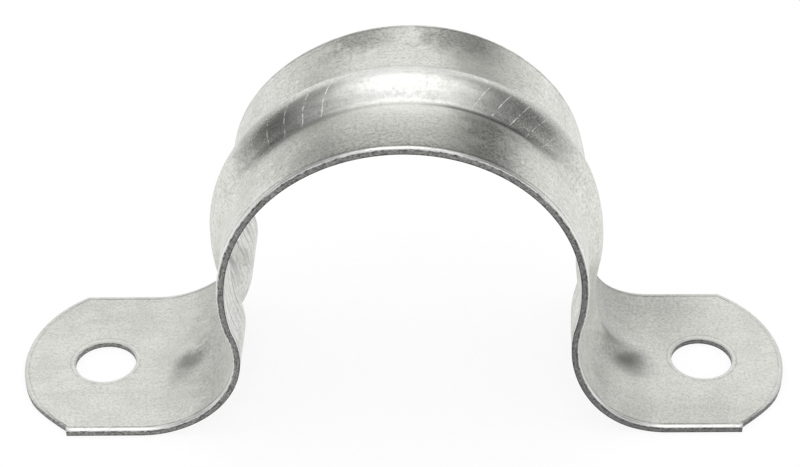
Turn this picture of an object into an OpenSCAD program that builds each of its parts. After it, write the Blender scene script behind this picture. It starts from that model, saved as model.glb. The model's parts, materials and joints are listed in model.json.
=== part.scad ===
// Two-hole strap for rigid conduit, pressed from one strip of sheet steel.
// The strap runs along X, the conduit along Y, and both feet stand on the plane Z = 0.

/* [Conduit] */
// Outside diameter of the conduit that the arch holds
conduit_d = 26.7; // [22:0.1:34]
// Radial play between the conduit and the arch
conduit_play = 0.05; // [0:0.05:0.3]
// Height of the conduit's axis above the mounting surface
axis_z = 13.5; // [12.5:0.1:15]

/* [Sheet] */
// Thickness of the sheet
sheet_t = 0.6; // [0.5:0.05:0.9]
// Width of the strip, measured along the conduit
strap_w = 16.4; // [13:0.1:22]
// Radius rolled onto the upper edges by the blanking die
edge_r = 0.2; // [0.1:0.05:0.3]

/* [Bends] */
// Radius of the upper face where a leg turns out into its foot
bend_r = 7.4; // [5.5:0.1:8.5]

/* [Rib] */
// Width of the stiffening rib at its base
rib_w = 5; // [4.4:0.1:6.5]
// Height of the rib above the sheet around it
rib_h = 1.2; // [0.8:0.1:1.3]
// Radius of the hollow at each side of the rib
rib_toe_r = 0.8; // [0.5:0.1:1]
// Angle round a bend in which the rib fades into the sheet
rib_fade = 80; // [60:1:84]

/* [Feet] */
// Length of a foot, from the end of its bend to its rounded end
foot_len = 10; // [8.5:0.1:16]
// Radius of the rounded ends
end_r = 10; // [8.6:0.1:12]
// Distance from a foot's end to the centre of its screw hole
hole_margin = 6.5; // [4:0.1:7]
// Diameter of the screw holes
hole_d = 4.9; // [4:0.1:5.5]

/* [Hidden] */
$fn = 96;

// Sections are rounded to a micrometre, so that neighbouring lengths meet point for point
function um(x) = round(x * 1000) / 1000;

// Arch: inner and outer faces are round the conduit's axis
arch_ri = conduit_d / 2 + conduit_play;
arch_ro = arch_ri + sheet_t;

// Bends: each one touches the arch's outer face and the foot's upper face
bend_z = bend_r + sheet_t;
reach = arch_ro + bend_r;
neck_a = round(asin((axis_z - bend_z) / reach) * 100) / 100;
bend_x = reach * cos(neck_a);

// Ends of the feet and centres of the screw holes
end_x = bend_x + foot_len;
hole_x = end_x - hole_margin;

// The bend stops just short of level, and the foot starts a little way inside it
level_gap = 1.5;
foot_start = 0.4;

// Rib section: a crest arc that runs into a hollow arc at each toe
rib_a = 2 * atan(rib_h / (rib_w / 2));
crest_r = rib_w / 2 / sin(rib_a) - rib_toe_r;
toe_a = 8;

// The fading rib turns about a centre beyond the bend's own, so it sinks into the sheet
fade_shift = um(rib_h / (1 - cos(rib_fade)));

// Place across the strip and height of a face of the rib, from its toe up to the crest.
// lift is 0 on the inner face and sheet_t on the outer one.
function toe_arc(lift, steps) =
    let (r = rib_toe_r + sheet_t - lift)
    [for (i = [0:steps])
        let (a = toe_a + (rib_a - toe_a) * i / steps)
        [um(-rib_w / 2 + r * sin(a)), um(lift + r * (1 - cos(a)))]];
function crest_arc(lift, steps) =
    let (r = crest_r - sheet_t + lift)
    [for (i = [1:steps - 1])
        let (a = rib_a * (2 * i / steps - 1))
        [um(r * sin(a)), um(lift + rib_h - r * (1 - cos(a)))]];
function toe_start(lift) =
    [um(-rib_w / 2 + (rib_toe_r + sheet_t - lift) * tan(toe_a / 2)), lift];
function reversed(points) = [for (i = [len(points) - 1:-1:0]) points[i]];
function flip(points) = [for (p = reversed(points)) [-p[0], p[1]]];

// One face of the rib from one toe to the other
function rib_face(lift) =
    let (half = concat([toe_start(lift)], toe_arc(lift, 5)))
    concat(half, crest_arc(lift, 14), flip(half));

// Rolled upper edge, measured inwards from the strip's side
function rolled_edge(steps) =
    [for (i = [0:steps])
        let (a = 90 * i / steps)
        [um(edge_r * (1 - cos(a))), um(sheet_t - edge_r * (1 - sin(a)))]];
function side_edge() = [for (p = rolled_edge(4)) [p[0] - strap_w / 2, p[1]]];

// Section across the strip, with and without the rib
function plain_section() =
    concat([[-strap_w / 2, 0]], side_edge(), flip(side_edge()), [[strap_w / 2, 0]]);
function ribbed_section() =
    concat([[-strap_w / 2, 0]], side_edge(), rib_face(sheet_t),
        flip(side_edge()), [[strap_w / 2, 0]], reversed(rib_face(0)));

// A rib face closed below, for adding the crest or cutting the groove
function rib_tool(lift) =
    concat([[toe_start(lift)[0], -1]], rib_face(lift), [[-toe_start(lift)[0], -1]]);

// Turns a section about an axis along Y. radius is where its inner face lies, and out is
// 1 where its upper face points away from the axis and -1 where it points towards it.
module swept(points, radius, out, from_a, sweep_a) {
    rotate([90, 0, 0])
    rotate([0, 0, from_a])
    rotate_extrude(angle = sweep_a)
    polygon([for (p = points) [radius + out * p[1], p[0]]]);
}

// A frame on the conduit's axis whose X points at the centre of the bend on the +X side
module neck_frame() {
    translate([0, 0, axis_z])
    rotate([0, neck_a, 0])
    children();
}

// The whole arch from neck to neck, in that frame
module arch() {
    swept(ribbed_section(), arch_ri, 1, 0, 180 + 2 * neck_a);
}

// One bend in the same frame, with the rib's raised crest outside and its groove inside
module bend() {
    difference() {
        union() {
            translate([reach, 0, 0])
            swept(plain_section(), bend_r + sheet_t, -1, 180, 90 + neck_a - level_gap);
            intersection() {
                translate([reach + fade_shift, 0, 0])
                swept(rib_tool(sheet_t), bend_r + sheet_t + fade_shift, -1, 180, rib_fade);
                translate([reach, 0, 0])
                rotate([90, 0, 0])
                cylinder(r = bend_r + sheet_t / 2, h = strap_w, center = true);
            }
        }
        translate([reach + fade_shift, 0, 0])
        swept(rib_tool(0), bend_r + sheet_t + fade_shift, -1, 180, rib_fade);
    }
}

// Flat foot on the +X side, cut to a round end and pierced for a screw
module foot() {
    start_x = bend_x - foot_start;
    difference() {
        intersection() {
            translate([start_x, 0, 0])
            rotate([90, 0, 90])
            linear_extrude(height = end_x - start_x)
            polygon(plain_section());
            translate([end_x - end_r, 0, 0])
            rotate_extrude()
            polygon(concat([[0, 0], [end_r, 0]],
                [for (p = rolled_edge(4)) [end_r - p[0], p[1]]], [[0, sheet_t]]));
        }
        translate([hole_x, 0, -1])
        cylinder(d = hole_d, h = sheet_t + 2);
    }
}

module strap() {
    color([0.74, 0.74, 0.71]) {
        neck_frame() {
            arch();
            bend();
        }
        mirror([1, 0, 0])
        neck_frame()
        bend();
        for (side = [0, 1])
            mirror([side, 0, 0])
            foot();
    }
}

strap();
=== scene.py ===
"""Two-hole tube strap: one detailed sheet-metal piece in place of the CAD strap, its
zinc-coated steel, a pale floor, soft studio light and the photograph's camera.

The strap is built as the flat strip it was stamped from, then carried onto the arch, the
two bends and the two feet. Distances are in metres in the geometry, and in millimetres on
the flat strip in the materials.
"""

import math

import bmesh
import bpy
from mathutils import Matrix, Vector
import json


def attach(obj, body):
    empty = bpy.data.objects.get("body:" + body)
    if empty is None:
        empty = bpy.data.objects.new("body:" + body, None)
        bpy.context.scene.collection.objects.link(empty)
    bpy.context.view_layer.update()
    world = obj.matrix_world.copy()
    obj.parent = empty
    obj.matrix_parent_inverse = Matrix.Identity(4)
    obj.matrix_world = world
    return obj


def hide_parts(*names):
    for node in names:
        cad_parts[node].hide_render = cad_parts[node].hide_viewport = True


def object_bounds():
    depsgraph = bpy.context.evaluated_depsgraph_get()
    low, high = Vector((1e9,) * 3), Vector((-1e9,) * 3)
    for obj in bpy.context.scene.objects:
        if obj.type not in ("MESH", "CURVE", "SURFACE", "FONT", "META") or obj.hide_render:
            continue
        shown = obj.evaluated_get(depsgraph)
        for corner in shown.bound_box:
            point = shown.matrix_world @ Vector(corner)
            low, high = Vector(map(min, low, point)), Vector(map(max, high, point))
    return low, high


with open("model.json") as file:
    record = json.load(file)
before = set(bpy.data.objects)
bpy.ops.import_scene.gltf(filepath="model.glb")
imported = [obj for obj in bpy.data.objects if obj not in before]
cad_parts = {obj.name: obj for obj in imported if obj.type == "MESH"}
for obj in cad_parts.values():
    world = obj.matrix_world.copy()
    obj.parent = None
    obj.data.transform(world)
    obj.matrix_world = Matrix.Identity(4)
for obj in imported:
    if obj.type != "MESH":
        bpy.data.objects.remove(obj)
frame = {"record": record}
cad_box = [list(corner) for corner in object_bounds()]

MM = 0.001

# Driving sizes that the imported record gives
mounts = {mount["name"]: mount for mount in frame["record"]["mounts"]}
seat = mounts["conduit_seat"]
holes = mounts["screw_holes"]
AXIS_Z = seat["pos_m"][2]
SHEET = holes["pos_m"][2]
ARCH_R = seat["dims"]["r_mm"] * MM + SHEET
WIDTH = seat["dims"]["length_mm"] * MM
HOLE_X = holes["dims"]["spacing_x_mm"] * MM / 2
HOLE_R = holes["dims"]["hole_r_mm"] * MM
END_X = cad_box[1][0]

# Driving sizes of the bends, the rib and the rounded ends
BEND_R = 7.4 * MM
RIB_W = 5.0 * MM
RIB_H = cad_box[1][2] - AXIS_Z - ARCH_R
RIB_TOE_R = 0.8 * MM
RIB_FADE = math.radians(92)
END_R = 10.0 * MM

# Roll that the blanking die left, along the strap's outline and round its holes
ROLL_W = 0.25 * MM
ROLL_H = 0.09 * MM
HOLE_ROLL = 0.16 * MM

# Step that the end punch left at each foot's near corner: its size across the strip and
# along it, how far its edge slopes back, and from what share of the way to the corner the
# round end flattens towards it
NICK_Y = 0.55 * MM
NICK_X = 0.5 * MM
NICK_SLOPE = 0.12 * MM
NICK_START = 0.55

# At a corner of the foot's outline the rim is set back by no more than 1 / CORNER_LIMIT
# times its width
CORNER_LIMIT = 0.7

# How the pressed strap sprang: the arch leans right, most at the back edge, and spreads a
# little above the legs, the right leg splays at the back, the bends bulge right, and the
# front edge is drawn in where the rib took up metal
LEAN = 0.22 * MM
LEAN_TWIST = 0.33 * MM
SPREAD_LEFT = 0.34 * MM
SPREAD_RIGHT = 0.08 * MM
SPLAY = 0.72 * MM
BULGE = 0.30 * MM
DRAW_IN = 0.21 * MM

# Heights as shares of the bend's: the bulge's top, where the splay is full, and from where
# it fades. Across the strip the splay grows from SPLAY_SIDE over SPLAY_SPAN, both as shares
# of half the width
BULGE_TOP = 1.3
SPLAY_FULL = 0.50
SPLAY_FADE = 1.1
SPLAY_SIDE = -0.7
SPLAY_SPAN = 1.5

# On the legs the rib's sides spread to this half-width and soften, from SOFT_FROM to
# SOFT_OVER further round the arch. Inside they are narrower by a share of the sheet's
# thickness. Where the rib sinks into the sheet it ends over RIB_BLEND of height
LEG_RIB_HALF = 3.7 * MM
LEG_RIB_TAPER = 0.15
SOFT_FROM = math.radians(45)
SOFT_OVER = math.radians(28)
RIB_BLEND = 0.35 * MM

# Worked out from the driving sizes
BEND_Z = BEND_R + SHEET
NECK_A = math.asin((AXIS_Z - BEND_Z) / (ARCH_R + BEND_R))
BEND_X = (ARCH_R + BEND_R) * math.cos(NECK_A)
RIB_A = 2 * math.atan(RIB_H / (RIB_W / 2))
CREST_R = RIB_W / 2 / math.sin(RIB_A) - RIB_TOE_R
FADE_SHIFT = RIB_H / (1 - math.cos(RIB_FADE))
ARCH_HALF = ARCH_R * (math.pi / 2 + NECK_A)
BEND_LEN = BEND_R * (math.pi / 2 + NECK_A)

# Below this height a place beyond the bend belongs to a foot
FOOT_TOP = SHEET * 1.5

# Fineness of the mesh. The rings on a foot are a little closer together at its hole, by
# RING_SPACING as a power, and the rib's fine rows go RIB_MARGIN past its toes
ARCH_STEPS = 184
BEND_STEPS = 44
RIB_STEPS = 56
FLANGE_STEPS = 16
ROLL_STEPS = 4
CUT_STEPS = 5
SIDE_STEPS = 16
END_STEPS = 72
RING_STEPS = 20
RING_SPACING = 0.85
RIB_MARGIN = 0.3 * MM

# Width of the rim that the finish treats as an edge
RIM_WIDTH = 1.0 * MM


def smooth(x):
    """Eases from 0 to 1 as x goes from 0 to 1."""
    x = min(max(x, 0.0), 1.0)
    return x * x * (3 - 2 * x)


def hump(x):
    """0 where x is 0 or 1, and 1 half-way between."""
    x = min(max(x, 0.0), 1.0)
    return 4 * x * (1 - x)


def rib_height(y, lift):
    """Height of a face of the rib; lift is SHEET on the outer face and 0 inside."""
    toe = RIB_TOE_R + SHEET - lift
    crest = CREST_R - SHEET + lift
    y = abs(y)
    if y <= crest * math.sin(RIB_A):
        return RIB_H - crest + math.sqrt(crest * crest - y * y)
    gap = max(RIB_W / 2 - y, 0.0)
    return toe - math.sqrt(toe * toe - gap * gap)


def leg_rib_height(y, lift):
    """The same height where the rib has softened on the legs."""
    half = LEG_RIB_HALF - (SHEET - lift) * LEG_RIB_TAPER
    if abs(y) >= half:
        return 0.0
    return RIB_H * math.cos(math.pi / 2 * y / half) ** 2


def rib_up(y, lift, soft, sink):
    """Height of the rib at a station, with its legs' softness and its sinking."""
    height = rib_height(y, lift)
    height += (leg_rib_height(y, lift) - height) * soft
    return faded(height, sink)


def sprung(spot):
    """A place on the strap after the press let go of it."""
    level = (spot.z - SHEET) / (BEND_Z - SHEET)
    rise = smooth(level)
    back = spot.y / (WIDTH / 2)
    spread = hump((spot.z - AXIS_Z) / ARCH_R) * smooth((back + 1) / 2)
    spot.x += spread * (SPREAD_RIGHT if spot.x > 0 else -SPREAD_LEFT)
    spot.x += rise * (LEAN + LEAN_TWIST * back)
    spot.x += BULGE * hump(level / BULGE_TOP)
    if spot.x > 0:
        up = smooth((spot.z - SHEET) / (SPLAY_FULL * BEND_Z))
        up *= 1 - smooth(spot.z / BEND_Z - SPLAY_FADE)
        spot.x += SPLAY * up * smooth((back - SPLAY_SIDE) / SPLAY_SPAN)
    spot.y += DRAW_IN * rise * smooth(-back)
    return spot


def faded(height, sink):
    """Height left once the rib has sunk into the sheet, with a soft end."""
    blend = min(RIB_BLEND, sink)
    left = height - sink
    if blend <= 0:
        return height
    if left >= blend:
        return left
    if left <= -blend:
        return 0.0
    return (left + blend) ** 2 / (4 * blend)


def across(half_width):
    """Places across the strip, closest together on the rib."""
    rib_edge = RIB_W / 2 + RIB_MARGIN
    flange = [half_width - (half_width - rib_edge) * i / FLANGE_STEPS for i in range(FLANGE_STEPS)]
    rib = [rib_edge - 2 * rib_edge * i / RIB_STEPS for i in range(RIB_STEPS + 1)]
    return [-y for y in flange] + [-y for y in rib] + flange[::-1]


def edge_rows():
    """(distance in from the side, depth below the outer face) down the rim and cut face."""
    rows = []
    for i in range(ROLL_STEPS + 1):
        a = math.pi / 2 * i / ROLL_STEPS
        rows.append((ROLL_W * (1 - math.sin(a)), ROLL_H * (1 - math.cos(a))))
    for i in range(1, CUT_STEPS + 1):
        rows.append((0.0, ROLL_H + (SHEET - ROLL_H) * i / CUT_STEPS))
    return rows


def stations():
    """Points along the strip from the left foot's start to the right foot's: place on the
    outer face, outward direction, how soft the rib is, how far it has sunk, and length
    from the crown."""
    points = []
    for i in range(BEND_STEPS + 1):
        psi = (math.pi / 2 + NECK_A) * (1 - i / BEND_STEPS)
        a = math.pi - NECK_A + psi
        out = Vector((-math.cos(a), 0, -math.sin(a)))
        place = Vector((BEND_X, 0, BEND_Z)) - BEND_R * out
        sink = FADE_SHIFT * (1 - math.cos(psi))
        points.append((place, out, 1.0, sink, ARCH_HALF + BEND_R * psi))
    right = points[::-1]
    left = []
    for place, out, soft, sink, along in points:
        mirrored = Vector((-place.x, 0, place.z)), Vector((-out.x, 0, out.z))
        left.append((*mirrored, soft, sink, -along))
    arch = []
    for i in range(1, ARCH_STEPS):
        a = (math.pi / 2 + NECK_A) * (2 * i / ARCH_STEPS - 1)
        out = Vector((math.sin(a), 0, math.cos(a)))
        soft = smooth((abs(a) - SOFT_FROM) / SOFT_OVER)
        arch.append((Vector((0, 0, AXIS_Z)) + ARCH_R * out, out, soft, 0.0, ARCH_R * a))
    return left + arch + right


class Sheet:
    """Collects the strap's vertices with their place on the flat strip."""

    def __init__(self):
        self.mesh = bmesh.new()
        self.uv = self.mesh.loops.layers.uv.new("strip")
        self.depth = self.mesh.verts.layers.float.new("depth")
        self.rim = self.mesh.verts.layers.float.new("rim")
        self.strip = {}

    def point(self, place, along, y, depth):
        rim = rim_nearness(place)
        vert = self.mesh.verts.new(place)
        vert[self.depth] = depth
        vert[self.rim] = rim
        self.strip[vert] = (along / MM, y / MM)
        return vert

    def quads(self, rows, material=0, closed=False):
        """Faces between neighbouring rows of vertices."""
        for upper, lower in zip(rows, rows[1:]):
            pairs = list(zip(upper, lower))
            if closed:
                pairs.append(pairs[0])
            for (a, b), (c, d) in zip(pairs, pairs[1:]):
                face = self.mesh.faces.new((a, b, d, c))
                face.material_index = material
                face.smooth = True


def build_section(sheet, place, out, soft, sink, along):
    """Vertices round the strip at one station: outer face, right edge, inner face and
    left edge, each list going on from the one before."""
    outer = []
    for y in across(WIDTH / 2 - ROLL_W):
        up = rib_up(y, SHEET, soft, sink)
        outer.append(sheet.point(place + Vector((0, y, 0)) + out * up, along, y, 0.0))
    inner = []
    for y in across(WIDTH / 2):
        up = rib_up(y, 0.0, soft, sink) - SHEET
        inner.append(sheet.point(place + Vector((0, y, 0)) + out * up, along, y, 1.0))
    edges = []
    for side, first, last in ((1, outer[-1], inner[-1]), (-1, outer[0], inner[0])):
        column = [first]
        for inset, depth in edge_rows()[1:-1]:
            y = side * (WIDTH / 2 - inset)
            spot = place + Vector((0, y, 0)) - out * depth
            column.append(sheet.point(spot, along, y, depth / SHEET))
        edges.append(column + [last])
    return outer, edges[0], inner, edges[1]


def foot_outline(sign):
    """The foot's edge from its start on the far side round the end to its start on the near
    side, with the small step that the end punch left at the near corner."""
    centre = END_X - END_R
    far = WIDTH / 2
    near = WIDTH / 2 - NICK_Y
    corner = centre + math.sqrt(END_R**2 - far**2)
    points = [(BEND_X + (corner - BEND_X) * i / SIDE_STEPS, far) for i in range(SIDE_STEPS + 1)]
    start, end = math.asin(far / END_R), -math.asin(near / END_R)
    for i in range(1, END_STEPS + 1):
        a = start + (end - start) * i / END_STEPS
        x = centre + END_R * math.cos(a)
        y = END_R * math.sin(a)
        x -= NICK_X * smooth((-y / near - NICK_START) / (1 - NICK_START))
        points.append((x, y))
    last_x = points[-1][0]
    for i in range(SIDE_STEPS + 1):
        t = 1 - i / SIDE_STEPS
        points.append((BEND_X + (last_x - NICK_SLOPE - BEND_X) * t, -far))
    return [Vector((sign * x, y, 0)) for x, y in points]


def outward(points, i, sign):
    """Direction out of the outline at point i, lengthened where two edges meet at a corner."""
    dirs = []
    for start, end in ((points[i - 1], points[i]), (points[i], points[i + 1])):
        step = end - start
        dirs.append(Vector((-step.y, step.x, 0)).normalized() * sign)
    mean = (dirs[0] + dirs[1]).normalized()
    return mean / max(mean.dot(dirs[0]), CORNER_LIMIT)


def foot_along(spot, sign):
    """Distance along the flat strip from the crown to a place on a foot."""
    return sign * (ARCH_HALF + BEND_LEN + abs(spot.x) - BEND_X)


def build_foot(sheet, section, sign):
    """One foot, from the bend's last section out to the round end and in to the hole."""
    outer, far_edge, inner, near_edge = section
    outline = foot_outline(sign)
    rows = edge_rows()
    columns = [far_edge]
    for i in range(1, len(outline) - 1):
        out = outward(outline, i, sign)
        column = []
        for inset, depth in rows:
            spot = outline[i] - out * inset
            spot.z = SHEET - depth
            column.append(sheet.point(spot, foot_along(spot, sign), spot.y, depth / SHEET))
        columns.append(column)
    columns.append(near_edge)
    sheet.quads([[c[r] for c in columns] for r in range(ROLL_STEPS + 1)])
    sheet.quads([[c[r] for c in columns] for r in range(ROLL_STEPS, len(rows))], material=1)

    tops = [c[0] for c in columns] + outer[1:-1]
    bottoms = [c[-1] for c in columns] + inner[1:-1]
    centre = Vector((sign * HOLE_X, 0, 0))
    rims = []
    for level, ring, radius in ((SHEET, tops, HOLE_R + HOLE_ROLL), (0.0, bottoms, HOLE_R)):
        loops = [ring]
        for k in range(1, RING_STEPS + 1):
            t = (k / RING_STEPS) ** RING_SPACING
            loop = []
            for vert in ring:
                flat = Vector((vert.co.x, vert.co.y, 0))
                goal = centre + (flat - centre).normalized() * radius
                spot = flat.lerp(goal, t)
                spot.z = vert.co.z + (level - vert.co.z) * t
                along = foot_along(spot, sign)
                loop.append(sheet.point(spot, along, spot.y, 1 - level / SHEET))
            loops.append(loop)
        sheet.quads(loops, closed=True)
        rims.append(loops[-1])

    wall = [rims[0]]
    for i in range(1, ROLL_STEPS + 1):
        a = math.pi / 2 * i / ROLL_STEPS
        wall.append(hole_loop(sheet, rims[0], centre, HOLE_ROLL * (1 - math.sin(a)),
                              HOLE_ROLL * (1 - math.cos(a)), sign))
    sheet.quads(wall, closed=True)
    bore = [wall[-1]]
    for i in range(1, CUT_STEPS):
        depth = HOLE_ROLL + (SHEET - HOLE_ROLL) * i / CUT_STEPS
        bore.append(hole_loop(sheet, rims[0], centre, 0.0, depth, sign))
    bore.append(rims[1])
    sheet.quads(bore, material=1, closed=True)


def hole_loop(sheet, rim, centre, extra, depth, sign):
    """A ring of vertices in the hole, extra wider than its bore, depth below the face."""
    loop = []
    for vert in rim:
        way = Vector((vert.co.x, vert.co.y, 0)) - centre
        spot = centre + way.normalized() * (HOLE_R + extra)
        spot.z = SHEET - depth
        loop.append(sheet.point(spot, foot_along(spot, sign), spot.y, depth / SHEET))
    return loop


def rim_nearness(co):
    """1 on an edge of the strap or its holes, falling to 0 at RIM_WIDTH inside."""
    gap = WIDTH / 2 - abs(co.y)
    if co.z < FOOT_TOP and abs(co.x) > BEND_X:
        if abs(co.x) > END_X - END_R:
            gap = min(gap, END_R - math.hypot(abs(co.x) - (END_X - END_R), co.y))
        gap = min(gap, math.hypot(abs(co.x) - HOLE_X, co.y) - HOLE_R)
    return 1 - smooth(gap / RIM_WIDTH)


def build_strap():
    """The whole strap as one closed mesh."""
    sheet = Sheet()
    sections = [build_section(sheet, *station) for station in stations()]
    outer, far_edge, inner, near_edge = zip(*sections)
    sheet.quads(outer)
    sheet.quads(inner)
    for edge in (far_edge, near_edge):
        sheet.quads([[column[r] for column in edge] for r in range(ROLL_STEPS + 1)])
        rows = range(ROLL_STEPS, len(edge_rows()))
        sheet.quads([[column[r] for column in edge] for r in rows], material=1)
    build_foot(sheet, sections[-1], 1)
    build_foot(sheet, sections[0], -1)

    bm = sheet.mesh
    for vert in bm.verts:
        vert.co = sprung(vert.co)
    bmesh.ops.recalc_face_normals(bm, faces=bm.faces)
    for face in bm.faces:
        for loop in face.loops:
            loop[sheet.uv].uv = sheet.strip[loop.vert]
    data = bpy.data.meshes.new("strap_sheet")
    bm.to_mesh(data)
    bm.free()
    strap = bpy.data.objects.new("strap_sheet", data)
    bpy.context.collection.objects.link(strap)
    return strap


class Nodes:
    """Short calls for building a node tree."""

    def __init__(self, tree):
        self.tree = tree
        tree.nodes.clear()

    def add(self, kind, values=None, **settings):
        node = self.tree.nodes.new(kind)
        for name, value in settings.items():
            setattr(node, name, value)
        for key, value in (values or {}).items():
            self.feed(node.inputs[key], value)
        return node

    def feed(self, socket, value):
        if isinstance(value, bpy.types.NodeSocket):
            self.tree.links.new(value, socket)
        else:
            socket.default_value = value

    def math(self, operation, a, b=0.0):
        return self.add("ShaderNodeMath", {0: a, 1: b}, operation=operation).outputs[0]

    def times(self, *factors):
        """The product of two or more values."""
        product = factors[0]
        for factor in factors[1:]:
            product = self.math("MULTIPLY", product, factor)
        return product

    def plus(self, a, b):
        return self.math("ADD", a, b)

    def minus(self, a, b):
        return self.math("SUBTRACT", a, b)

    def most(self, *values):
        """The largest of two or more values."""
        largest = values[0]
        for value in values[1:]:
            largest = self.math("MAXIMUM", largest, value)
        return largest

    def magnitude(self, value):
        """The value without its sign."""
        return self.math("ABSOLUTE", value)

    def vector(self, operation, a, b):
        node = self.add("ShaderNodeVectorMath", {0: a, 1: b}, operation=operation)
        return node.outputs["Vector"]

    def noise(self, vector, scale, detail=3.0, rough=0.55):
        values = {"Vector": vector, "Scale": scale, "Detail": detail, "Roughness": rough}
        return self.add("ShaderNodeTexNoise", values).outputs["Fac"]

    def span(self, value, low, high, to_low=0.0, to_high=1.0):
        """Maps value from low and high to to_low and to_high, and holds it beyond them."""
        values = {"Value": value, "From Min": low, "From Max": high}
        values.update({"To Min": to_low, "To Max": to_high})
        return self.add("ShaderNodeMapRange", values, clamp=True).outputs["Result"]

    def mix(self, factor, a, b):
        node = self.add("ShaderNodeMix", data_type="RGBA")
        self.feed(node.inputs[0], factor)
        self.feed(node.inputs[6], a)
        self.feed(node.inputs[7], b)
        return node.outputs[2]

    def attribute(self, name):
        return self.add("ShaderNodeAttribute", attribute_name=name).outputs["Fac"]


def grey(level, warm=0.0):
    """A near-neutral colour, with less blue where warm is above 0 and more where below."""
    return (level, level, level * (1 - warm), 1.0)


def new_material(name):
    material = bpy.data.materials.new(name)
    material.use_nodes = True
    return material, Nodes(material.node_tree)


# Colours of the coating: where it is matt, where it is burnished, and on the inner face. On the
# legs and the inner face they are lightened by a painted bright reflection, the shoulders' dark
# grey is a painted dark reflection and the crown's pale grey a painted highlight
MATT_DARK = grey(0.62, 0.055)
MATT_PALE = grey(0.72, 0.05)
# Lightened on the legs: a painted reflection of the pale floor
MATT_LEG_AND_REFLECTION = grey(0.86, 0.05)
SHINY_FLANGE = grey(0.76, 0.07)
# Lightened on the legs, most on the right: a painted reflection of the pale floor
LEFT_LEG_SHINE_AND_REFLECTION = grey(0.83, 0.05)
RIGHT_LEG_SHINE_AND_REFLECTION = grey(0.95, 0.05)
SHINY_CREST = grey(0.82, 0.035)
# Painted dark reflection on the rib's shoulders
PAINTED_SHOULDER_REFLECTION = grey(0.20, 0.06)
# Painted highlight at the crown
PAINTED_CROWN_HIGHLIGHT = grey(0.86, 0.03)
# Near white on the inner face: a painted bright reflection
INNER_FACE_AND_REFLECTION = grey(0.97, 0.03)

# Colours of the marks on it, and of the painted shade, painted reflections and painted highlights
CLOUD = grey(0.55, 0.08)
STREAK = grey(0.50, 0.06)
SPECKLE = grey(0.40, 0.05)
FINE_LINE = grey(0.42, 0.05)
SAND = grey(0.90, 0.03)
# Grain in the painted dark reflection on the rib's shoulders
SHOULDER_SAND = grey(0.72, 0.05)
PIT = grey(0.24, 0.06)
# Painted shade along the rib's front toe
PAINTED_CREASE_SHADE = grey(0.16, 0.04)
# Painted shade and dark reflections on the arch and bends, and darker patches on the feet
DARK_PATCH_GREY = grey(0.12, 0.08)
# Painted reflections of ripples on the inner legs, as dark streaks
PAINTED_STREAK_REFLECTION = grey(0.20, 0.06)
# Painted shade on the rib's run-out spots
PAINTED_RUN_OUT_SHADE = grey(0.20, 0.05)
# Painted shade along the rib's back and front toes
PAINTED_BACK_TOE_SHADE = grey(0.30, 0.06)
PAINTED_FRONT_TOE_SHADE = grey(0.45, 0.05)
# Painted shade just inside the rims
PAINTED_RIM_SHADE = grey(0.16, 0.05)
# Pale grey of the hatch strokes, and of the rims' line of wear with its painted highlight
PALE_MARK_AND_HIGHLIGHT = grey(0.90)

# Roughness of the plain coating and how metallic it is, and the range of roughness that the
# speckle gives it where it is burnished
MATT = 0.48
COAT_METAL = 0.30
BURNISHED = (0.24, 0.44)

# How far the flats are burnished on the arch, how much that varies either way, and the share
# of it that is left on the legs
FLAT_SHINE = 0.86
FLAT_SHINE_RANGE = 0.2
LEG_SHINE = 0.45

# Places on the flat strip in millimetres, along it from the crown: the ends of the burnished
# crest and arch, how far each fades to either side and wanders, the spots where the rib runs
# out, and where the painted dark reflection on the crest's shoulders begins and is full
CREST_SHINE = ARCH_R * math.radians(52) / MM
ARCH_SHINE = (ARCH_HALF + BEND_LEN * 0.12) / MM
CREST_SHINE_FADE = 1.5
ARCH_SHINE_FADE = 3.0
SHINE_WANDER = 5.0
RUN_OUT_AT = (ARCH_HALF + BEND_LEN) / MM - 3.65
LEFT_SHOULDER = (-7.6, -10.8)
RIGHT_SHOULDER = (5.5, 8.5)

# Distance across the strip from its middle to the line along the rib's front toe
TOE_LINE = RIB_W / MM / 2 - 0.08

# Hatch strokes: distance from one to the next, half-width, lean as a share of the distance
# across the strip, and where they begin and end on each side of the crown, each as the
# place with none and the place where they are full
STROKE_PITCH = 1.60
STROKE_HALF = 0.045
STROKE_LEAN = 0.5
STROKES_BEGIN = (4.2, 5.6)
STROKES_END = (14.0, 12.0)

# Painted shade and dark reflections on the flanges, and darker patches on the feet: from, to
# and softness along the strip; then across it, where the patch starts, where it is full, and how
# dark it is there. All wander along the strip
BACK_RIGHT_REFLECTION = ((1.2, 6.6, 1.2), (4.2, 6.2, 0.58))
BACK_LEFT_REFLECTION = ((-5.8, -1.5, 1.2), (4.4, 6.4, 0.58))
FRONT_RIGHT_REFLECTION = ((4.5, 8.5, 1.5), (-2.4, -3.4, 0.68))
FRONT_FOOT_PATCH = ((31.0, 46.0, 2.5), (-3.0, -6.0, 0.17))
BACK_FOOT_PATCH = ((29.0, 43.0, 2.5), (0.5, 5.5, 0.38))
PATCH_WANDER = 4.5

# How far the noise patterns of the inner face lie from those of the outer one, and the
# length at the crown over which a value changes from the left half's to the right half's
INSIDE_STEP = 9.0
CHANGE_LENGTH = 2.0

# Relief of the coating and of the sheared edge, in metres
COAT_RELIEF = 0.011 * MM
CUT_RELIEF = 0.03 * MM

# Colours of the sheared edge: its burnished and torn bands, and what marks them
SHEARED = grey(0.32, 0.03)
TORN = grey(0.19, 0.02)
TEAR = grey(0.06, 0.02)
CUT_GRAIN = grey(0.46, 0.04)
CUT_PATCH = grey(0.36)
# Painted highlight along the sheared edge's rim
PAINTED_CUT_RIM_HIGHLIGHT = grey(0.75)
CUT_RIGHT = grey(0.10, -0.06)
CUT_SEAM = grey(0.03)
CUT_INNER = grey(0.04)

# Roughness of its burnished band, and what the torn band adds
CUT_ROUGH = 0.30
TORN_ROUGH = 0.15


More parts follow.
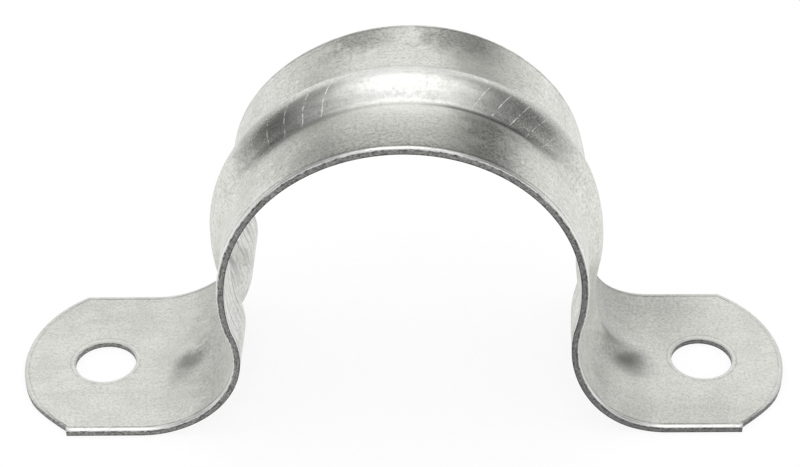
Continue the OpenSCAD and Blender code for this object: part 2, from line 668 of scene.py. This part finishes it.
def strip_vector(n):
    """The place on the flat strip for noise patterns, with a step between the outer and the
    inner face, then the distance along the strip alone and the one across it alone."""
    uv = n.add("ShaderNodeUVMap", uv_map="strip").outputs["UV"]
    depth = n.times(n.attribute("depth"), INSIDE_STEP)
    parts = n.add("ShaderNodeSeparateXYZ", {0: uv})
    along, side = parts.outputs[0], parts.outputs[1]
    whole = n.add("ShaderNodeCombineXYZ", {0: along, 1: side, 2: depth})
    return whole.outputs[0], along, side


def patch(n, place, low, high, soft):
    """1 where place lies between low and high, fading over soft on either side."""
    return n.times(n.span(place, low - soft, low + soft), n.span(place, high + soft, high - soft))


def by_half(n, along, left, right):
    """left on the strap's left half and right on its right half."""
    return n.span(along, -CHANGE_LENGTH / 2, CHANGE_LENGTH / 2, left, right)


def shaped_patch(n, along, side, shape, least=0.0):
    """One dark patch of the given shape. Beside the patch the strip is still least dark."""
    start, full, dark = shape[1]
    return n.times(patch(n, along, *shape[0]), n.span(side, start, full, least, dark))


def painted_reflections_and_patches(n, along, side, cloud, speckle):
    """Painted shade and dark reflections: on the back flange, in front at the crown, on the front
    flange and the rib's left shoulder, and on the lower bends; and darker patches on the feet."""
    wander = n.times(n.minus(cloud, 0.5), PATCH_WANDER)
    along = n.plus(along, wander)
    away = n.magnitude(along)
    ragged = n.plus(side, n.times(wander, 0.5))
    crown_front = n.times(n.span(away, 11.0, 6.0), n.span(ragged, -3.0, -6.5, 0.0, 0.44))
    crown_rim = n.times(n.span(away, 8.0, 6.0), n.span(side, -5.4, -7.6, 0.0, 0.60))
    shoulder = n.times(patch(n, along, -12.8, -8.6, 1.2), patch(n, side, -2.5, -0.6, 0.4), 0.40)
    bends = n.times(patch(n, away, 31.5, 34.5, 1.5), 0.30)
    left_foot = n.times(n.span(along, -36.0, -40.0), n.span(side, 2.0, 6.0, 0.0, 0.12))
    total = n.most(
        crown_front, crown_rim, shoulder, bends, left_foot,
        shaped_patch(n, along, ragged, BACK_RIGHT_REFLECTION),
        shaped_patch(n, along, ragged, BACK_LEFT_REFLECTION),
        shaped_patch(n, along, side, FRONT_RIGHT_REFLECTION),
        shaped_patch(n, along, side, FRONT_FOOT_PATCH),
        shaped_patch(n, along, ragged, BACK_FOOT_PATCH, 0.03),
    )
    return n.times(total, n.span(speckle, 0.38, 0.60, 0.72, 1.18))


def hatch_marks(n, along, side, vector):
    """Faint leaning strokes that the press left on both shoulders of the rib."""
    lean = n.minus(along, n.times(side, STROKE_LEAN))
    lane = n.math("PINGPONG", n.plus(lean, STROKE_PITCH / 4), STROKE_PITCH / 2)
    stroke = n.span(lane, STROKE_HALF, STROKE_HALF / 3)
    away = n.magnitude(along)
    here = n.times(n.span(away, *STROKES_BEGIN), n.span(away, *STROKES_END))
    wide = n.times(n.span(side, -2.7, -2.0), n.span(side, 0.7, -0.1))
    dashes = n.span(n.noise(vector, 3.2, 2.0), 0.44, 0.54)
    outside = n.span(n.attribute("depth"), 0.5, 0.1)
    return n.times(stroke, here, wide, dashes, outside)


def run_out(n, along, side, away):
    """The burnished spots where the rib ends in the bends, each a leaning oval, darkened with a
    painted shade. The right one lies further back and leans less than the left one."""
    out = n.minus(away, RUN_OUT_AT)
    front = n.plus(side, by_half(n, along, 1.1, 0.4))
    lean = by_half(n, along, 1.0, 0.35)
    length = n.minus(out, n.times(front, lean))
    length = n.times(length, by_half(n, along, 0.24, 0.27))
    breadth = n.plus(front, n.times(out, lean))
    breadth = n.times(breadth, by_half(n, along, 0.51, 0.46))
    radius = n.math("SQRT", n.plus(n.times(length, length), n.times(breadth, breadth)))
    return n.span(radius, 1.25, 0.30, 0.0, 0.92)


def burnished(n, side, away, vector):
    """Where the press tool rubbed the arch shiny: the top of the rib most, the rest less and
    in patches. Gives the whole amount and the part of it that is the rib's own."""
    patches = n.noise(n.vector("ADD", vector, (7.0, 3.0, 1.0)), 0.42, 4.0, 0.6)
    reach = n.plus(away, n.times(n.minus(patches, 0.5), SHINE_WANDER))
    arch = n.span(reach, ARCH_SHINE + ARCH_SHINE_FADE, ARCH_SHINE - ARCH_SHINE_FADE)
    lowest, highest = FLAT_SHINE - FLAT_SHINE_RANGE, FLAT_SHINE + FLAT_SHINE_RANGE
    flat = n.span(patches, 0.25, 0.75, lowest, highest)
    flat = n.times(flat, n.span(away, 12.0, 15.0, 1.0, LEG_SHINE))
    top = n.span(n.magnitude(side), 2.70, 2.35)
    end = n.span(reach, CREST_SHINE + CREST_SHINE_FADE, CREST_SHINE - CREST_SHINE_FADE)
    crest = n.times(top, end)
    return n.times(arch, n.most(crest, flat)), crest


def pits_in(n, vector):
    """Small pits, in about a third of the cells of a cell pattern."""
    cells = n.add("ShaderNodeTexVoronoi", {"Vector": vector, "Scale": 1.1})
    chosen = n.add("ShaderNodeSeparateColor", {0: cells.outputs["Color"]}).outputs[0]
    return n.times(n.span(cells.outputs["Distance"], 0.075, 0.03), n.span(chosen, 0.62, 0.66))


def rim_highlight_and_shade(n, side, cloud, fine):
    """The bright line on the strap's rims, partly wear and partly a painted highlight, strongest
    in front, and a thin line of painted shade just inside it."""
    rim = n.attribute("rim")
    border = n.span(n.magnitude(side), 5.5, 7.0, 0.35, 1.0)
    rim_shade = n.times(patch(n, rim, 0.62, 0.76, 0.06), n.span(cloud, 0.35, 0.55, 0.3, 0.8), border)
    rim_wear_and_highlight = n.times(n.span(rim, 0.83, 0.92), n.span(fine, 0.40, 0.56, 0.40, 0.95), border)
    return n.times(rim_wear_and_highlight, n.span(side, 3.0, -3.0, 0.3, 1.0)), rim_shade


def toe_shade_lines(n, along, side, away, cloud):
    """Painted shade lines along the rib's toes: a dark one in front on the right of the crown, a
    fainter one on the left, and a broken one at the back."""
    off_line = n.magnitude(n.plus(side, TOE_LINE))
    crease = n.times(n.span(off_line, 0.26, 0.06), patch(n, along, 2.0, 10.5, 1.5))
    front = n.times(n.span(off_line, 0.40, 0.12, 0.0, 0.5), patch(n, along, -10.0, 2.0, 1.5))
    back = n.times(patch(n, side, 2.05, 2.50, 0.20), n.span(away, 13.0, 9.0))
    return crease, front, n.times(back, n.span(cloud, 0.35, 0.55, 0.25, 0.75))


def base_colour(n, along, away, blotch, shine):
    """The coating's colour, matt and burnished, along the strip, lightened on the legs by a
    painted reflection of the pale floor.
    """
    colour = n.mix(n.span(blotch, 0.35, 0.65), MATT_DARK, MATT_PALE)
    colour = n.mix(patch(n, away, 13.5, 26.0, 2.0), colour, MATT_LEG_AND_REFLECTION)
    leg = n.mix(n.span(along, -20.0, 15.0), LEFT_LEG_SHINE_AND_REFLECTION, RIGHT_LEG_SHINE_AND_REFLECTION)
    return n.mix(shine, colour, n.mix(n.span(away, 7.5, 11.5), SHINY_FLANGE, leg))


def zinc_face():
    """Rolled sheet with a satin zinc coating: blotches, fine speckle, rolling streaks, small
    pits, hatch strokes, wear at the edges and shiny burnished places; over these, painted shade
    and dark reflections, painted pale reflections on the legs and painted highlights at the crown
    and the rims."""
    material, n = new_material("zinc_face")
    vector, along, side = strip_vector(n)
    away = n.magnitude(along)
    inside = n.span(n.attribute("depth"), 0.5, 0.9)

    blotch = n.noise(vector, 0.33, 4.0)
    cloud = n.noise(n.vector("ADD", vector, (31.0, 17.0, 5.0)), 1.1, 4.0)
    speckle = n.noise(vector, 3.8, 3.0, 0.75)
    sand = n.noise(n.vector("ADD", vector, (3.0, 8.0, 2.0)), 9.0, 1.0)
    streaks = n.noise(n.vector("MULTIPLY", vector, (0.10, 1.7, 1.0)), 1.0, 5.0, 0.6)
    fine = n.noise(n.vector("MULTIPLY", vector, (0.8, 4.5, 1.0)), 1.0, 3.0, 0.7)
    drawn = n.noise(n.vector("MULTIPLY", vector, (0.09, 1.5, 1.0)), 1.0, 2.0)
    pits = pits_in(n, vector)
    marks = hatch_marks(n, along, side, vector)
    rim_wear_and_highlight, rim_shade = rim_highlight_and_shade(n, side, cloud, fine)
    crease, front_toe_shade, back_toe_shade = toe_shade_lines(n, along, side, away, cloud)

    spot = run_out(n, along, side, away)
    amount, crest = burnished(n, side, away, vector)
    shine = n.most(amount, spot)
    # A painted highlight on the crown's rib and on the front flange below it
    glow = n.times(n.span(away, 6.3, 2.5), patch(n, side, -3.4, 0.9, 0.9))
    # Painted dark reflection on the crest's shoulders: full on the left, 0.7 on the right, weaker
    # at the back
    shoulders = n.most(n.span(along, *RIGHT_SHOULDER, 0.0, 0.70), n.span(along, *LEFT_SHOULDER))
    shoulders = n.times(shoulders, n.span(side, 1.4, -0.2, 0.35, 1.0))
    grainy = n.times(shoulders, crest, n.span(sand, 0.42, 0.62))
    # Dark streaks on the inner legs: painted reflections of ripples, which the relief also raises
    lines = n.times(n.span(drawn, 0.555, 0.60), inside, patch(n, away, 19.5, 26.0, 2.0),
                    n.span(along, -5.0, 5.0, 0.7, 0.3))

    colour = base_colour(n, along, away, blotch, shine)
    # The burnished crest, with the painted dark reflection on its shoulders
    colour = n.mix(crest, colour, n.mix(shoulders, SHINY_CREST, PAINTED_SHOULDER_REFLECTION))
    # Painted highlight at the crown
    colour = n.mix(n.times(glow, 0.8), colour, PAINTED_CROWN_HIGHLIGHT)
    # Near white on the inner face: a painted bright reflection
    colour = n.mix(n.times(inside, 0.9), colour, INNER_FACE_AND_REFLECTION)
    colour = n.mix(n.span(cloud, 0.35, 0.7, 0.0, 0.4), colour, CLOUD)
    colour = n.mix(n.span(streaks, 0.45, 0.8, 0.0, 0.4), colour, STREAK)
    speckled = n.times(n.span(speckle, 0.46, 0.70), n.span(glow, 0.0, 1.0, 0.7, 0.15))
    colour = n.mix(speckled, colour, SPECKLE)
    colour = n.mix(n.span(fine, 0.52, 0.72, 0.0, 0.40), colour, FINE_LINE)
    colour = n.mix(n.span(sand, 0.56, 0.72, 0.0, 0.7), colour, SAND)
    colour = n.mix(n.times(grainy, 0.8), colour, SHOULDER_SAND)
    colour = n.mix(n.times(pits, 0.6), colour, PIT)
    # Painted shade along the rib's front toe, right of the crown
    colour = n.mix(n.times(crease, 0.8), colour, PAINTED_CREASE_SHADE)
    # Painted shade and dark reflections on the arch and bends, and darker patches on the feet
    colour = n.mix(painted_reflections_and_patches(n, along, side, cloud, speckle), colour, DARK_PATCH_GREY)
    # Painted reflections of ripples on the inner legs
    colour = n.mix(lines, colour, PAINTED_STREAK_REFLECTION)
    # Painted shade on the run-out spots, much stronger on the right
    colour = n.mix(n.times(spot, by_half(n, along, 0.10, 0.66)), colour, PAINTED_RUN_OUT_SHADE)
    # Painted shade along the rib's back and front toes
    colour = n.mix(back_toe_shade, colour, PAINTED_BACK_TOE_SHADE)
    colour = n.mix(front_toe_shade, colour, PAINTED_FRONT_TOE_SHADE)
    # Painted shade just inside the rims
    colour = n.mix(rim_shade, colour, PAINTED_RIM_SHADE)
    # The rims' line of wear with a painted highlight, strongest in front
    colour = n.mix(n.times(rim_wear_and_highlight, 0.9), colour, PALE_MARK_AND_HIGHLIGHT)
    colour = n.mix(n.times(marks, 0.34), colour, PALE_MARK_AND_HIGHLIGHT)

    matt = n.plus(MATT, n.times(cloud, 0.10))
    glossy = n.span(speckle, 0.36, 0.66, *BURNISHED)
    glossy = n.plus(glossy, n.times(glow, 0.12))
    glossy = n.minus(glossy, n.times(inside, 0.10))
    glossy = n.plus(glossy, n.times(marks, 0.2))
    polish = n.most(shine, n.times(rim_wear_and_highlight, 0.9))
    rough = n.plus(matt, n.times(polish, n.minus(glossy, matt)))
    metal = n.minus(n.span(polish, 0.0, 0.6, COAT_METAL, 1.0), n.times(marks, 0.3))

    height = n.plus(n.times(speckle, 0.5), n.times(streaks, 0.5))
    height = n.plus(height, n.times(cloud, 0.8))
    height = n.plus(height, n.times(drawn, inside, 5.0))
    height = n.minus(height, n.times(pits, 0.8))
    height = n.minus(height, n.times(marks, 0.8))
    finish(n, colour, rough, metal, height, COAT_RELIEF)
    return material


def finish(n, colour, rough, metal, height, relief):
    """Ends a material with its shader and its relief."""
    bump = n.add("ShaderNodeBump", {"Height": height, "Strength": 1.0, "Distance": relief})
    values = {"Base Color": colour, "Roughness": rough, "Metallic": metal}
    values["Normal"] = bump.outputs[0]
    shader = n.add("ShaderNodeBsdfPrincipled", values)
    n.add("ShaderNodeOutputMaterial", {"Surface": shader.outputs[0]})


def cut_face():
    """The sheared edge of the sheet: a painted highlight along the rim, a burnished band, a dark
    seam, a darker torn band and a dark line at the inner face, with grain across the thickness.
    On the right leg and foot it is darker."""
    material, n = new_material("cut_face")
    vector, along, _ = strip_vector(n)
    tears = n.noise(n.vector("MULTIPLY", vector, (3.2, 3.2, 0.3)), 1.0, 4.0, 0.7)
    grain = n.noise(n.vector("MULTIPLY", vector, (4.5, 4.5, 0.9)), 1.0, 3.0, 0.6)
    dents = n.noise(n.vector("MULTIPLY", vector, (1.6, 1.6, 0.2)), 1.0, 2.0)
    patches = n.noise(vector, 0.9, 3.0)
    edge = n.plus(n.attribute("depth"), n.times(n.minus(tears, 0.5), 0.5))
    torn = n.span(edge, 0.40, 0.60)
    seam = n.times(patch(n, edge, 0.30, 0.46, 0.07), n.span(dents, 0.42, 0.56, 0.35, 1.0))

    colour = n.mix(torn, SHEARED, TORN)
    colour = n.mix(n.span(tears, 0.5, 0.62, 0.0, 0.75), colour, TEAR)
    colour = n.mix(n.span(grain, 0.50, 0.62, 0.0, 0.85), colour, CUT_GRAIN)
    colour = n.mix(n.span(patches, 0.55, 0.8, 0.0, 0.4), colour, CUT_PATCH)
    # Painted highlight along the rim
    colour = n.mix(n.span(edge, 0.26, 0.16, 0.0, 0.7), colour, PAINTED_CUT_RIM_HIGHLIGHT)
    colour = n.mix(n.span(along, 10.0, 20.0, 0.0, 0.40), colour, CUT_RIGHT)
    colour = n.mix(n.times(seam, 0.85), colour, CUT_SEAM)
    colour = n.mix(n.span(edge, 0.84, 0.94, 0.0, 0.65), colour, CUT_INNER)

    rough = n.plus(CUT_ROUGH, n.times(torn, TORN_ROUGH))
    height = n.plus(n.plus(tears, n.times(torn, -0.6)), grain)
    finish(n, colour, rough, 1.0, height, CUT_RELIEF)
    return material


# Light: how bright the room is, the share of the floor that takes shadows, the floor's
# grey, and how far it lies below the feet
ROOM_LIGHT = 0.95
SHADOW_SHARE = 0.15
FLOOR_GREY = 0.95
FLOOR_SIZE = 6.0
FLOOR_GAP = 0.02 * MM

# Lamps: azimuth and elevation in degrees, width, length and brightness, which doesn't change
# with the lamp's size
TOP_LAMP = (0, 84, 0.50, 1.00, 0.98)
FRONT_LAMP = (180, 42, 0.24, 0.34, 1.00)
LAMP_DISTANCE = 0.8

# Dark cards: lowest and highest elevation behind the strap and beside it, the azimuths
# where they start, where they widen and where they end, all in degrees
CARD_BACK = (18.0, 42.0)
CARD_SIDE = (13.0, 54.0)
CARD_LEFT_FROM = 29.0
CARD_RIGHT_FROM = 20.0
CARD_WIDENS = (35.0, 60.0)
CARD_FRONT = 145.0
CARD_GREY = 0.26
CARD_DISTANCE = 0.6
CARD_STEPS = 24

# Camera, from a fit to the strap's outline in the photograph: lens and sensor in
# millimetres, angles in radians, place in millimetres, clip distances in metres
CAMERA_LENS = 101.59
CAMERA_SENSOR = 36.0
CAMERA_YAW = 0.0032
CAMERA_PITCH = 0.6622
CAMERA_ROLL = -0.0036
CAMERA_PLACE_MM = (-0.7121, -138.2332, 121.326)
CAMERA_CLIP = (0.005, 20.0)


def background_rays(n):
    """1 for the rays that should meet a plain white background."""
    path = n.add("ShaderNodeLightPath")
    kinds = ("Is Camera Ray", "Is Glossy Ray", "Is Transmission Ray")
    return n.most(*[path.outputs[kind] for kind in kinds])


def build_world():
    """White to the camera, to reflections and through glass; softer as a light."""
    world = bpy.data.worlds.new("studio")
    bpy.context.scene.world = world
    world.use_nodes = True
    n = Nodes(world.node_tree)
    strength = n.span(background_rays(n), 0.0, 1.0, ROOM_LIGHT, 1.0)
    sky = n.add("ShaderNodeBackground", {"Color": (1, 1, 1, 1), "Strength": strength})
    n.add("ShaderNodeOutputWorld", {"Surface": sky.outputs[0]})


def flat_panel(name, width, height):
    data = bpy.data.meshes.new(name)
    x, y = width / 2, height / 2
    data.from_pydata([(-x, -y, 0), (x, -y, 0), (x, y, 0), (-x, y, 0)], [], [(0, 1, 2, 3)])
    panel = bpy.data.objects.new(name, data)
    bpy.context.collection.objects.link(panel)
    return panel


def build_floor():
    """A pale floor that is white to the eye and still takes the strap's soft shadow."""
    floor = flat_panel("floor", FLOOR_SIZE, FLOOR_SIZE)
    floor.location.z = -FLOOR_GAP
    material, n = new_material("pale_floor")
    paper = n.add("ShaderNodeBsdfDiffuse", {"Color": grey(FLOOR_GREY)})
    glow = n.add("ShaderNodeEmission", {"Color": (1, 1, 1, 1), "Strength": 1.0})
    share = n.times(background_rays(n), 1 - SHADOW_SHARE)
    both = n.add("ShaderNodeMixShader", {0: share, 1: paper.outputs[0], 2: glow.outputs[0]})
    n.add("ShaderNodeOutputMaterial", {"Surface": both.outputs[0]})
    floor.data.materials.append(material)


def aim(lamp, azimuth, elevation):
    """Puts a lamp round the strap, facing it. Azimuth 0 is behind it and 90 on its right."""
    a, e = math.radians(azimuth), math.radians(elevation)
    way = Vector((math.sin(a) * math.cos(e), math.cos(a) * math.cos(e), math.sin(e)))
    lamp.location = way * LAMP_DISTANCE + Vector((0, 0, AXIS_Z))
    lamp.rotation_euler = (-way).to_track_quat("-Z", "Y").to_euler()


def bent_card(name, side, start):
    """A card bent round one side of the strap, from a little off the back to the front.
    Behind the strap its lower edge rises to leave the pale background clear."""
    verts = []
    for i in range(CARD_STEPS + 1):
        azimuth = start + (CARD_FRONT - start) * i / CARD_STEPS
        a = math.radians(azimuth)
        beside = smooth((azimuth - CARD_WIDENS[0]) / (CARD_WIDENS[1] - CARD_WIDENS[0]))
        low = CARD_BACK[0] + (CARD_SIDE[0] - CARD_BACK[0]) * beside
        high = CARD_BACK[1] + (CARD_SIDE[1] - CARD_BACK[1]) * beside
        for rise in (low, high):
            x = side * CARD_DISTANCE * math.sin(a)
            up = CARD_DISTANCE * math.tan(math.radians(rise))
            verts.append((x, CARD_DISTANCE * math.cos(a), AXIS_Z + up))
    faces = [(2 * i, 2 * i + 2, 2 * i + 3, 2 * i + 1) for i in range(CARD_STEPS)]
    data = bpy.data.meshes.new(name)
    data.from_pydata(verts, [], faces)
    card = bpy.data.objects.new(name, data)
    bpy.context.collection.objects.link(card)
    return card


def build_cards():
    """Dark cards at both sides, out of the picture, that shape the strap's reflections."""
    material, n = new_material("dark_card")
    dark = n.add("ShaderNodeEmission", {"Color": (1, 1, 1, 1), "Strength": CARD_GREY})
    n.add("ShaderNodeOutputMaterial", {"Surface": dark.outputs[0]})
    sides = (("card_left", -1, CARD_LEFT_FROM), ("card_right", 1, CARD_RIGHT_FROM))
    for name, side, start in sides:
        card = bent_card(name, side, start)
        card.data.materials.append(material)
        card.visible_camera = False
        card.visible_shadow = False
        card.visible_diffuse = False


def build_lamps():
    """A long soft lamp overhead, from behind the strap to in front of it, and a smaller one
    a little above the camera."""
    for name, values in (("lamp_top", TOP_LAMP), ("lamp_front", FRONT_LAMP)):
        azimuth, elevation, width, length, glow = values
        light = bpy.data.lights.new(name, "AREA")
        light.shape = "RECTANGLE"
        light.size = width
        light.size_y = length
        light.energy = glow * math.pi * width * length
        lamp = bpy.data.objects.new(name, light)
        bpy.context.collection.objects.link(lamp)
        aim(lamp, azimuth, elevation)


def build_camera():
    """The photograph's viewpoint, from a fit to the strap's outline in it."""
    yaw, pitch, roll = CAMERA_YAW, CAMERA_PITCH, CAMERA_ROLL
    data = bpy.data.cameras.new("camera")
    data.sensor_width = CAMERA_SENSOR
    data.lens = CAMERA_LENS
    data.clip_start, data.clip_end = CAMERA_CLIP
    camera = bpy.data.objects.new("camera", data)
    bpy.context.collection.objects.link(camera)
    ahead = Vector((math.sin(yaw) * math.cos(pitch), math.cos(yaw) * math.cos(pitch),
                    -math.sin(pitch)))
    right = Vector((math.cos(yaw), -math.sin(yaw), 0))
    up = right.cross(ahead)
    tilt_right = math.cos(roll) * right + math.sin(roll) * up
    tilt_up = -math.sin(roll) * right + math.cos(roll) * up
    turn = Matrix((tilt_right, tilt_up, -ahead)).transposed()
    camera.rotation_euler = turn.to_euler()
    camera.location = Vector(CAMERA_PLACE_MM) * MM
    bpy.context.scene.camera = camera


strap = build_strap()
strap.data.materials.append(zinc_face())
strap.data.materials.append(cut_face())
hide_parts("strap")
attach(strap, "root")

build_world()
build_floor()
build_cards()
build_lamps()
build_camera()
bpy.context.scene.view_settings.view_transform = "Standard"
